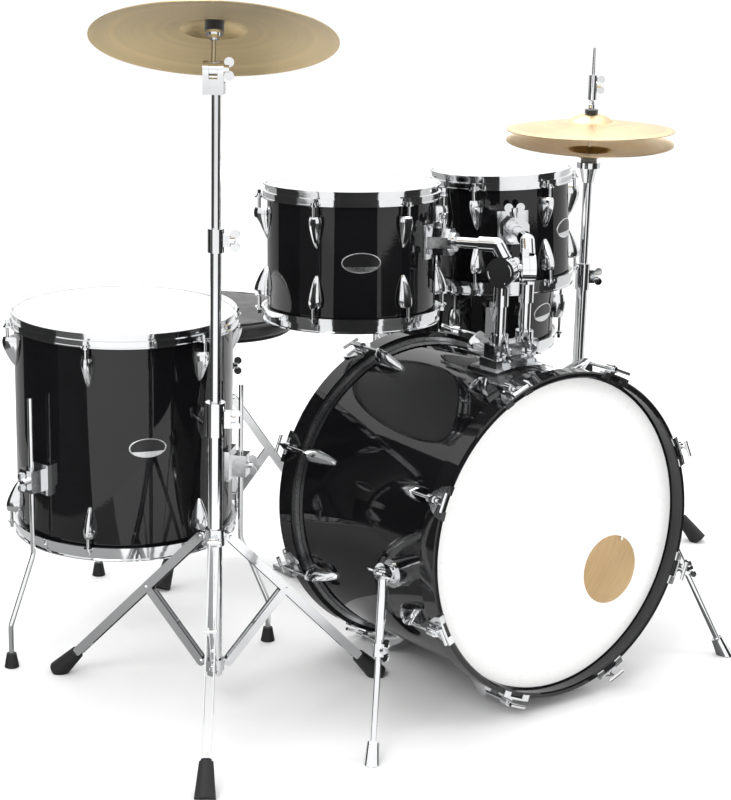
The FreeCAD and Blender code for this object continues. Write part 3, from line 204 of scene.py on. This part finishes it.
def chrome(name, color, low, high, grain=260.0):
    """Plated metal with fine polishing marks and a little unevenness."""
    t = Tree(name, color, low, Metallic=1.0)
    t.colors(t.noise(14.0, 3.0), tuple(c * 0.93 for c in color), color)
    t.rough(t.ramp(t.noise(70.0, 5.0, 0.7), low, high))
    wave = t.bump(t.noise(grain * 0.2, 1.0), 0.06, 0.0006)
    t.bump(t.noise(grain * 4, 3.0, 0.8), 0.03, 0.0001, wave)
    return t.material


def brushed(name, color, stretch):
    t = Tree(name, color, 0.3, Metallic=1.0)
    grain = t.noise(240.0, 4.0, 0.6, t.stretched(stretch))
    t.colors(grain, tuple(c * 0.75 for c in color), color)
    t.rough(t.ramp(grain, 0.22, 0.42))
    t.bump(grain, 0.15, 0.0002)
    return t.material


def coated_film():
    """Drum head with a sprayed coating: white, matt and finely grained."""
    t = Tree("head_coated", (0.86, 0.86, 0.85), 0.6, IOR=1.45)
    t.colors(t.noise(11.0, 4.0), (0.82, 0.82, 0.815), (0.88, 0.88, 0.875))
    t.rough(t.ramp(t.noise(400.0, 2.0), 0.5, 0.75))
    t.bump(t.noise(1900.0, 2.0, 0.7), 0.35, 0.0003)
    return t.material


def smooth_film():
    t = Tree("head_smooth", (0.88, 0.88, 0.87), 0.28, IOR=1.5)
    t.colors(t.noise(6.0, 3.0), (0.86, 0.86, 0.855), (0.89, 0.89, 0.885))
    t.rough(t.ramp(t.noise(55.0, 4.0), 0.24, 0.36))
    t.bump(t.noise(30.0, 2.0), 0.04, 0.0004)
    return t.material


def bronze(name, node, axis, pale, deep, blade):
    """Lathed cymbal alloy: rings round the cymbal's own axis."""
    t = Tree(name, pale, 0.3, Metallic=1.0, Anisotropic=0.55)
    radius, offset = t.around(centre_of(node), axis)
    wobble = t.noise(26.0, 3.0)
    turns = t.math("ADD", t.math("MULTIPLY", radius, blade), t.math("MULTIPLY", wobble, 5.0))
    groove = t.math("SINE", turns)
    fine = t.math("SINE", t.math("MULTIPLY", radius, blade * 3.7))
    band = t.noise(34.0, 4.0, 0.7, t.along_radius(radius))
    tone = t.math("ADD", t.math("MULTIPLY", band, 0.7), t.math("MULTIPLY", groove, 0.08))
    t.colors(tone, deep, pale, 0.2, 0.52)
    t.rough(t.ramp(band, 0.24, 0.38))
    first = t.bump(groove, 0.22, 0.0004)
    t.bump(fine, 0.10, 0.0002, first)
    tangent = t.add("ShaderNodeVectorTransform", vector_type="VECTOR",
                    convert_from="OBJECT", convert_to="WORLD")
    t.link(t.vector("CROSS_PRODUCT", offset, axis.normalized()), tangent.inputs[0])
    t.link(t.vector("NORMALIZE", tangent.outputs[0]), t.surface.inputs["Tangent"])
    return t.material


def soft(name, color, rough, grain, depth, sheen=0.0):
    """Rubber, felt or moulded plastic, told apart by grain and sheen."""
    t = Tree(name, color, rough, Sheen_Weight=sheen)
    t.colors(t.noise(grain * 0.15, 3.0), tuple(c * 0.75 for c in color), color)
    t.rough(t.ramp(t.noise(grain, 3.0), rough * 0.85, min(1.0, rough * 1.15)))
    t.bump(t.noise(grain, 4.0, 0.7), 0.4, depth)
    return t.material


def vinyl():
    """Upholstery vinyl with a leather grain and slight creases."""
    t = Tree("seat_vinyl", (0.014, 0.014, 0.015), 0.34, Coat_Weight=0.12, Coat_Roughness=0.25)
    t.colors(t.noise(18.0, 4.0), (0.010, 0.010, 0.011), (0.020, 0.020, 0.021))
    t.rough(t.ramp(t.noise(45.0, 4.0), 0.30, 0.46))
    crease = t.bump(t.noise(26.0, 3.0, 0.6), 0.12, 0.002)
    t.bump(t.cells(620.0), 0.35, 0.0005, crease)
    return t.material


def plywood():
    """Inner face of a shell: pale veneer with its grain round the drum."""
    t = Tree("shell_wood", (0.68, 0.54, 0.34), 0.5)
    grain = t.noise(16.0, 6.0, 0.6, t.stretched((1.0, 14.0, 1.0)))
    t.colors(grain, (0.60, 0.46, 0.27), (0.72, 0.58, 0.38))
    t.rough(t.ramp(grain, 0.42, 0.6))
    t.bump(grain, 0.2, 0.0004)
    return t.material


BRIGHT = (0.86, 0.87, 0.88)
shell_gloss = lacquer("shell_gloss", (0.0035, 0.0035, 0.004), 220.0)
hoop_gloss = lacquer("hoop_gloss", (0.005, 0.005, 0.0055), 140.0)
chrome_plate = chrome("chrome_plate", BRIGHT, 0.035, 0.11)
chrome_tube = chrome("chrome_tube", BRIGHT, 0.03, 0.08, 120.0)
chrome_cast = chrome("chrome_cast", (0.80, 0.81, 0.82), 0.07, 0.17, 420.0)
alloy_ring = brushed("alloy_ring", (0.84, 0.85, 0.86), (1.0, 1.0, 6.0))
steel_plate = brushed("steel_plate", (0.60, 0.61, 0.62), (1.0, 9.0, 1.0))
head_coated = coated_film()
head_smooth = smooth_film()
rubber = soft("rubber_black", (0.012, 0.012, 0.013), 0.62, 420.0, 0.0003)
felt = soft("felt_black", (0.020, 0.020, 0.021), 0.95, 900.0, 0.0012, 0.5)
felt_grey = soft("felt_grey", (0.20, 0.20, 0.20), 0.95, 900.0, 0.0012, 0.5)
plastic = soft("plastic_black", (0.010, 0.010, 0.011), 0.32, 260.0, 0.0001)
seat_vinyl = vinyl()
shell_wood = plywood()

CRASH_AXIS = Vector((0.233, 0.3246, 0.917))
HAT_TOP_AXIS = Vector((0.0033, 0.0363, 1.0))
HAT_LOW_AXIS = Vector((-0.0105, -0.0112, 1.0))
crash_bronze = bronze("bronze_crash", "crash_cymbal", CRASH_AXIS,
                      (0.60, 0.46, 0.24), (0.36, 0.265, 0.12), 2600.0)
hat_bronze = bronze("bronze_hat_top", "hihat_top_cymbal", HAT_TOP_AXIS,
                    (0.84, 0.68, 0.42), (0.66, 0.49, 0.27), 2800.0)
hat_low_bronze = bronze("bronze_hat_bottom", "hihat_bottom_cymbal", HAT_LOW_AXIS,
                        (0.84, 0.70, 0.46), (0.68, 0.52, 0.30), 2800.0)


# ---- materials onto CAD nodes --------------------------------------------------------
def solids_of(mesh):
    """Solid number of each face, with each solid's lowest and highest corner."""
    places = {}
    ids = []
    for v in mesh.vertices:
        key = (round(v.co.x, 6), round(v.co.y, 6), round(v.co.z, 6))
        ids.append(places.setdefault(key, len(places)))
    parent = list(range(len(places)))

    def root(k):
        while parent[k] != k:
            parent[k] = parent[parent[k]]
            k = parent[k]
        return k

    for face in mesh.polygons:
        first = root(ids[face.vertices[0]])
        for k in face.vertices[1:]:
            parent[root(ids[k])] = first
    boxes = {}
    for v, k in zip(mesh.vertices, ids):
        low, high = boxes.setdefault(root(k), (v.co.copy(), v.co.copy()))
        for axis in range(3):
            low[axis] = min(low[axis], v.co[axis])
            high[axis] = max(high[axis], v.co[axis])
    owner = [root(ids[face.vertices[0]]) for face in mesh.polygons]
    return owner, boxes


def dress(node, *materials):
    """The node's first material, with more slots for rules that follow."""
    mesh = nodes[node].data
    mesh.materials.clear()
    for material in materials:
        mesh.materials.append(material)


def dress_solids(node, rule, *materials):
    """rule(low, high) gives the number of the material that a solid takes."""
    dress(node, *materials)
    mesh = nodes[node].data
    owner, boxes = solids_of(mesh)
    choice = {key: rule(*corners) for key, corners in boxes.items()}
    mesh.polygons.foreach_set("material_index", [choice[key] for key in owner])


def dress_faces(node, rule, *materials):
    """rule(centre, normal) gives the number of the material that a face takes."""
    dress(node, *materials)
    mesh = nodes[node].data
    numbers = [rule(face.center, face.normal) for face in mesh.polygons]
    mesh.polygons.foreach_set("material_index", numbers)


def on_floor(low, high):
    return 1 if low.z < 0.002 and high.z < 0.09 else 0


BASS_AXIS = Vector((0.0, math.cos(BASS_TILT), -math.sin(BASS_TILT)))
TOM_LEANS = {"tom_left": Vector((0.0257, 0.0616, 1.0)), "tom_right": Vector((-0.0181, 0.0633, 1.0)),
             "floor_tom": Vector((0.0, 0.0, 1.0)), "snare": Vector((0.0, 0.0, 1.0))}
SHELL_R = {"bass": 11 * 0.0254, "tom_left": 6 * 0.0254, "tom_right": 5 * 0.0254,
           "floor_tom": 8 * 0.0254, "snare": 7 * 0.0254}


def radius_rule(node, axis, limit):
    """1 outside the radius about the node's own axis, and 0 inside it."""
    centre, along = centre_of(node), axis.normalized()

    def rule(point, _normal):
        offset = point - centre
        return 1 if (offset - along * offset.dot(along)).length > limit else 0
    return rule


for drum, axis in [("bass", BASS_AXIS), *TOM_LEANS.items()]:
    inner = radius_rule(drum + "_shell", axis, SHELL_R[drum] - 0.001)
    dress_faces(drum + "_shell", inner, shell_wood, shell_gloss)
for drum, axis in TOM_LEANS.items():
    edge_rule = radius_rule(drum + "_heads", axis, SHELL_R[drum] + 0.0008)
    dress_faces(drum + "_heads", edge_rule, head_coated, alloy_ring)
    dress(drum + "_hoops", chrome_plate)
    dress(drum + "_lugs", chrome_cast)
for node, film in (("bass_front_head", head_smooth), ("bass_batter_head", head_coated)):
    edge_rule = radius_rule(node, BASS_AXIS, SHELL_R["bass"] + 0.0008)
    dress_faces(node, edge_rule, film, alloy_ring)
dress("bass_hoops", hoop_gloss)
for node in ("bass_claws", "bass_lugs", "spur_brackets", "tom_mount_bracket", "tom_left_bracket",
             "tom_right_bracket", "floor_tom_leg_brackets", "crash_leg_collar"):
    dress(node, chrome_cast)
for node in ("bass_tension_rods", "tom_left_post", "tom_right_post", "tom_left_arm",
             "tom_right_arm", "crash_base_tube", "crash_middle_tube", "crash_upper_tube",
             "throne_seat_mount"):
    dress(node, chrome_tube)
for side in ("front", "left", "right"):
    dress("crash_brace_" + side, chrome_plate)
    dress_solids("crash_leg_" + side, on_floor, chrome_plate, rubber)
for node in ("spur_left_leg", "spur_right_leg", "floor_tom_legs"):
    dress_solids(node, on_floor, chrome_tube, rubber)
for node in ("snare_stand", "throne_base"):
    dress_solids(node, on_floor, chrome_plate, rubber)


def tilter_rule(low, high):
    width = (high - low).length
    if width > 0.06 or (low + high).z / 2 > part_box("crash_tilter")[1].z - 0.042:
        return 0
    return 1


def hat_base_rule(low, high):
    if low.z > 0.77:
        return 3 if high.z - low.z < 0.012 else 2
    return on_floor(low, high)


def hat_rod_rule(low, high):
    return 1 if high.z - low.z < 0.012 and high.x - low.x > 0.026 else 0


def beater_rule(low, high):
    return 1 if high.z - low.z < 0.06 else 0


dress_solids("crash_tilter", tilter_rule, chrome_plate, felt)
dress_solids("hihat_stand_base", hat_base_rule, chrome_tube, rubber, plastic, felt_grey)
dress_solids("hihat_pull_rod", hat_rod_rule, chrome_tube, felt)
dress_solids("pedal_beater", beater_rule, chrome_plate, felt_grey)
dress("snare_strainer", chrome_cast)
for node in ("pedal_frame", "pedal_footboard", "hihat_footboard"):
    dress(node, steel_plate)
dress("crash_cymbal", crash_bronze)
dress("hihat_top_cymbal", hat_bronze)
dress("hihat_bottom_cymbal", hat_low_bronze)
dress("throne_seat", seat_vinyl)


# ---- new pieces ------------------------------------------------------------------------
def new_piece(name, mesh, material, body):
    piece = bpy.data.objects.new(name, mesh)
    scene.collection.objects.link(piece)
    for one in material if isinstance(material, tuple) else (material,):
        mesh.materials.append(one)
    mesh.polygons.foreach_set("use_smooth", [True] * len(mesh.polygons))
    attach(piece, body)
    return piece


def badge(drum, node, body, heading, width=0.070, height=0.036):
    """Oval plate bent round the shell: bright rim, dark field, lower band."""
    out = frame_matrix(centre_of(node), TOM_LEANS[drum].normalized(), polar(heading))
    radius = SHELL_R[drum] + 0.0002
    bm = bmesh.new()

    def corner(across, up, rise):
        angle = across / radius
        place = Vector((math.cos(angle), math.sin(angle), 0.0)) * (radius + rise)
        return bm.verts.new(out @ (place + Vector((0.0, 0.0, up))))

    around = 72
    turns = [2 * math.pi * k / around for k in range(around)]
    rim = [[corner(share * width / 2 * math.cos(t), share * height / 2 * math.sin(t), rise)
            for t in turns]
           for share, rise in ((1.0, 0.0), (1.0, 0.0010), (0.95, 0.0014), (0.90, 0.0007))]
    for outer, inner in zip(rim, rim[1:]):
        for k in range(around):
            j = (k + 1) % around
            bm.faces.new((outer[k], outer[j], inner[j], inner[k]))
    columns = 16
    rows = []
    for k in range(31):
        level = -0.92 + 1.84 * k / 30
        half = width / 2 * math.sqrt(max(0.0, 0.92 ** 2 - level ** 2)) + 0.0002
        rows.append([corner(half * (2 * c / columns - 1), level * height / 2, 0.0009)
                     for c in range(columns + 1)])
    for k, (lower, upper) in enumerate(zip(rows, rows[1:])):
        for c in range(columns):
            face = bm.faces.new((lower[c], lower[c + 1], upper[c + 1], upper[c]))
            face.material_index = 0 if k < 9 else 1
    mesh = bpy.data.meshes.new(node + "_badge")
    bm.to_mesh(mesh)
    bm.free()
    return new_piece(drum + "_badge", mesh, (alloy_ring, plastic), body)


badge("tom_left", "tom_left_shell", "tom_left_drum", 240.2)
badge("tom_right", "tom_right_shell", "tom_right_drum", 299.3)
badge("floor_tom", "floor_tom_shell", "kit", 251.5)
badge("snare", "snare_shell", "kit", 290.8)


# ---- throne cushion ----------------------------------------------------------------------
SEAMS = {"throne_piping_top": 0.26, "throne_piping_bottom": -0.30}   # of the thickness
PIPING_R = 0.0026
SWELL_CAP = 0.010
CLOTH_STEPS = 20


def throne_cushion():
    """Padded round seat: swollen by a cloth simulation, then piped and sewn."""
    low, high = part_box("throne_seat")
    middle = (low + high) / 2
    radius = (high.x - low.x) / 2
    thick = high.z - low.z
    profile = [(0.0, 0.5), (0.45, 0.5), (0.80, 0.485), (0.93, 0.42), (0.985, 0.22),
               (0.99, 0.0), (0.985, -0.22), (0.94, -0.42), (0.82, -0.49), (0.45, -0.5),
               (0.0, -0.5)]
    inset, flat = 0.945, 0.84
    bm = bmesh.new()
    around = 96
    rows = []
    for share, level in profile:
        count = around if share > 0 else 1
        rows.append([bm.verts.new(middle + Vector((
            radius * inset * share * math.cos(2 * math.pi * k / around),
            radius * inset * share * math.sin(2 * math.pi * k / around),
            thick * flat * level))) for k in range(count)])
    for upper, lower in zip(rows, rows[1:]):
        for k in range(around):
            j = (k + 1) % around
            if len(upper) == 1:
                bm.faces.new((upper[0], lower[k], lower[j]))
            elif len(lower) == 1:
                bm.faces.new((upper[j], upper[k], lower[0]))
            else:
                bm.faces.new((upper[j], upper[k], lower[k], lower[j]))
    bmesh.ops.recalc_face_normals(bm, faces=bm.faces)
    mesh = bpy.data.meshes.new("throne_cushion")
    bm.to_mesh(mesh)
    bm.free()
    piece = bpy.data.objects.new("throne_cushion", mesh)
    scene.collection.objects.link(piece)
    remesh = piece.modifiers.new("remesh", "REMESH")
    remesh.mode = "VOXEL"
    remesh.voxel_size = 0.0055
    bake_modifiers(piece)
    swell(piece, SWELL_CAP)
    smooth_over = piece.modifiers.new("relax", "SMOOTH")
    smooth_over.factor = 0.5
    smooth_over.iterations = 6
    bake_modifiers(piece)
    fill_out(piece.data, middle, radius * 0.985, thick * 0.98)
    seat_shape(piece.data, middle, radius, thick)
    subdivide = piece.modifiers.new("subdivide", "SUBSURF")
    subdivide.levels = subdivide.render_levels = 1
    bake_modifiers(piece)
    piece.data.materials.clear()
    piece.data.materials.append(seat_vinyl)
    piece.data.polygons.foreach_set("use_smooth", [True] * len(piece.data.polygons))
    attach(piece, "throne_top")
    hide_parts("throne_seat")
    for name, height in SEAMS.items():
        seam = middle + Vector((0, 0, thick * height))
        piping(name, seam, width_at(piece.data, seam), PIPING_R)
    return piece


def fill_out(mesh, middle, radius, thick):
    """Scale the smoothed cushion back to its full width and thickness."""
    reach = max(math.hypot(v.co.x - middle.x, v.co.y - middle.y) for v in mesh.vertices)
    high = max(abs(v.co.z - middle.z) for v in mesh.vertices)
    for v in mesh.vertices:
        offset = v.co - middle
        v.co = middle + Vector((offset.x * radius / reach, offset.y * radius / reach,
                                offset.z * thick / 2 / high))


def width_at(mesh, seam):
    """Mean radius of the cushion's side at the height of a seam."""
    outs = [math.hypot(v.co.x - seam.x, v.co.y - seam.y) for v in mesh.vertices
            if abs(v.co.z - seam.z) < 0.003]
    side = [out for out in outs if out > max(outs) * 0.95]
    return sum(side) / len(side)


def bake_modifiers(piece):
    graph = bpy.context.evaluated_depsgraph_get()
    graph.update()
    made = bpy.data.meshes.new_from_object(piece.evaluated_get(graph))
    piece.modifiers.clear()
    old = piece.data
    piece.data = made
    bpy.data.meshes.remove(old)


def swell(piece, cap):
    """Cloth under pressure, with each point's movement held to cap metres."""
    rest = [v.co.copy() for v in piece.data.vertices]
    cloth = piece.modifiers.new("cloth", "CLOTH")
    settings = cloth.settings
    settings.quality = 6
    settings.mass = 0.4
    settings.tension_stiffness = settings.compression_stiffness = 25.0
    settings.shear_stiffness = 12.0
    settings.bending_stiffness = 4.0
    settings.use_pressure = True
    settings.uniform_pressure_force = 4.0
    settings.effector_weights.gravity = 0.0
    cloth.point_cache.frame_start = 1
    cloth.point_cache.frame_end = CLOTH_STEPS
    for step in range(1, CLOTH_STEPS + 1):
        scene.frame_set(step)
    bake_modifiers(piece)
    for v, start in zip(piece.data.vertices, rest):
        move = v.co - start
        if move.length > cap:
            v.co = start + move * (cap / move.length)
    scene.frame_set(1)


def seat_shape(mesh, middle, radius, thick):
    """Sewn seam grooves at the two welts and a flat underside on the plate."""
    limit = thick / 2
    for v in mesh.vertices:
        offset = v.co - middle
        out = math.hypot(offset.x, offset.y)
        if out > radius * 0.80:
            for seam in SEAMS.values():
                gap = (offset.z - thick * seam) / 0.005
                pull = 0.0030 * math.exp(-gap * gap)
                v.co.x -= offset.x / out * pull
                v.co.y -= offset.y / out * pull
        v.co.z = max(v.co.z, middle.z - limit + 0.0002)
        v.co.z = min(v.co.z, middle.z + limit + 0.006)
        spread = math.hypot(v.co.x - middle.x, v.co.y - middle.y)
        if spread > radius + 0.002:
            v.co.x = middle.x + (v.co.x - middle.x) * (radius + 0.002) / spread
            v.co.y = middle.y + (v.co.y - middle.y) * (radius + 0.002) / spread


def ring_mesh(name, centre, radius, thickness, around=160, section=12):
    bm = bmesh.new()
    rows = []
    for k in range(around):
        turn = 2 * math.pi * k / around
        out = Vector((math.cos(turn), math.sin(turn), 0.0))
        rows.append([bm.verts.new(centre + out * (radius + thickness * math.cos(a))
                                  + Vector((0, 0, thickness * math.sin(a))))
                     for a in (2 * math.pi * s / section for s in range(section))])
    for k in range(around):
        for s in range(section):
            t = (s + 1) % section
            j = (k + 1) % around
            bm.faces.new((rows[k][s], rows[j][s], rows[j][t], rows[k][t]))
    bmesh.ops.recalc_face_normals(bm, faces=bm.faces)
    mesh = bpy.data.meshes.new(name)
    bm.to_mesh(mesh)
    bm.free()
    return mesh


def piping(name, centre, radius, thickness):
    mesh = ring_mesh(name, centre, radius, thickness)
    return new_piece(name, mesh, seat_vinyl, "throne_top")


throne_cushion()


# ---- studio ----------------------------------------------------------------------------
def studio_floor():
    size = 60.0
    bm = bmesh.new()
    corners = [bm.verts.new((x * size, y * size, -0.0005)) for x, y in
               ((-1, -1), (1, -1), (1, 1), (-1, 1))]
    bm.faces.new(corners)
    mesh = bpy.data.meshes.new("studio_floor")
    bm.to_mesh(mesh)
    bm.free()
    floor = bpy.data.objects.new("studio_floor", mesh)
    scene.collection.objects.link(floor)
    t = Tree("floor_paper", (0.93, 0.93, 0.93), 0.9)
    t.colors(t.noise(3.0, 4.0), (0.925, 0.925, 0.925), (0.935, 0.935, 0.935))
    mesh.materials.append(t.material)


def area_light(name, at, target, size, power):
    data = bpy.data.lights.new(name, "AREA")
    data.shape = "RECTANGLE"
    data.size, data.size_y = size
    data.energy = power
    lamp = bpy.data.objects.new(name, data)
    scene.collection.objects.link(lamp)
    lamp.location = at
    lamp.rotation_mode = "QUATERNION"
    lamp.rotation_quaternion = (target - at).to_track_quat("-Z", "Y")
    return lamp


def studio_world():
    world = bpy.data.worlds.new("studio")
    world.use_nodes = True
    back = world.node_tree.nodes["Background"]
    back.inputs["Color"].default_value = (1.0, 1.0, 1.0, 1.0)
    back.inputs["Strength"].default_value = 1.13
    scene.world = world


def reflection_card(name, corners, level):
    """Grey card that only mirror surfaces see."""
    bm = bmesh.new()
    bm.faces.new([bm.verts.new(corner) for corner in corners])
    mesh = bpy.data.meshes.new(name)
    bm.to_mesh(mesh)
    bm.free()
    card = bpy.data.objects.new(name, mesh)
    scene.collection.objects.link(card)
    mesh.materials.append(Tree(name + "_cloth", (level, level, level), 1.0).material)
    card.visible_camera = False
    card.visible_diffuse = False
    card.visible_shadow = False
    card.visible_transmission = False


def upright_card(name, middle, azimuth, width, low, high, level):
    side = polar(azimuth + 90.0) * (width / 2)
    corners = [middle - side + Vector((0, 0, low)), middle + side + Vector((0, 0, low)),
               middle + side + Vector((0, 0, high)), middle - side + Vector((0, 0, high))]
    reflection_card(name, corners, level)


def floor_card(name, start, end, near, far, level):
    steps = 10
    turns = [start + (end - start) * k / steps for k in range(steps + 1)]
    lift = Vector((0, 0, 0.0008))
    corners = [polar(t) * far + lift for t in turns]
    corners += [polar(t) * near + lift for t in reversed(turns)]
    reflection_card(name, corners, level)


def make_camera():
    yaw, pitch, roll = (math.radians(a) for a in (36.89, 16.15, 1.38))
    ahead = Vector((math.sin(yaw) * math.cos(pitch), math.cos(yaw) * math.cos(pitch),
                    -math.sin(pitch)))
    right = Vector((math.cos(yaw), -math.sin(yaw), 0.0))
    up = right.cross(ahead)
    x_axis = right * math.cos(roll) + up * math.sin(roll)
    y_axis = up * math.cos(roll) - right * math.sin(roll)
    data = bpy.data.cameras.new("photo_camera")
    data.sensor_width = 36.0
    data.lens = 94.06
    data.clip_end = 200.0
    camera = bpy.data.objects.new("photo_camera", data)
    scene.collection.objects.link(camera)
    matrix = Matrix((x_axis, y_axis, -ahead)).transposed().to_4x4()
    matrix.translation = kit(-2.3634, -2.5548, 1.5629)
    camera.matrix_world = matrix
    scene.camera = camera


studio_floor()
studio_world()
middle_of_kit = Vector((0.0, 0.0, 0.6))
area_light("key_left", Vector((-3.4, -2.2, 3.4)), middle_of_kit, (2.0, 1.4), 60.0)
area_light("fill_right", Vector((3.0, -3.0, 2.6)), middle_of_kit, (1.2, 2.0), 30.0)
area_light("top_back", Vector((0.8, 1.6, 3.6)), middle_of_kit, (3.6, 2.4), 80.0)
# start and end azimuth in degrees, and how pale the card is
FAR_CARDS = [(-220, -165, 0.04), (-165, -88, 0.75), (-88, -32, 0.02), (-32, 55, 0.55),
             (55, 140, 0.30)]
NEAR_CARDS = [(-210, -150, 0.25), (-150, -84, 0.80), (-84, -50, 0.10), (-50, 60, 0.60),
              (60, 150, 0.40)]
NEAR_EDGE, CARD_EDGE, FAR_EDGE = 0.02, 1.5, 9.0
for number, (start, end, level) in enumerate(FAR_CARDS):
    floor_card("far_card_%d" % number, start, end, CARD_EDGE, FAR_EDGE, level)
for number, (start, end, level) in enumerate(NEAR_CARDS):
    floor_card("near_card_%d" % number, start, end, NEAR_EDGE, CARD_EDGE, level)
upright_card("card_left", polar(150.0) * 1.7, 150.0, 1.3, 0.0, 1.5, 0.01)
upright_card("card_right", polar(-52.0) * 1.7, -52.0, 0.9, 0.0, 1.8, 0.01)
upright_card("card_toms", Vector((-0.42, -0.54, 0.0)), -127.0, 0.36, 0.35, 1.0, 0.02)
lamp = bpy.data.lights.new("inside_bass", "POINT")
lamp.energy = 1.1
lamp.shadow_soft_size = 0.09
inside = bpy.data.objects.new("inside_bass", lamp)
scene.collection.objects.link(inside)
inside.location = kit(0.02, 0.26, 0.33)
inside.visible_glossy = False
make_camera()
scene.view_settings.view_transform = "Standard"
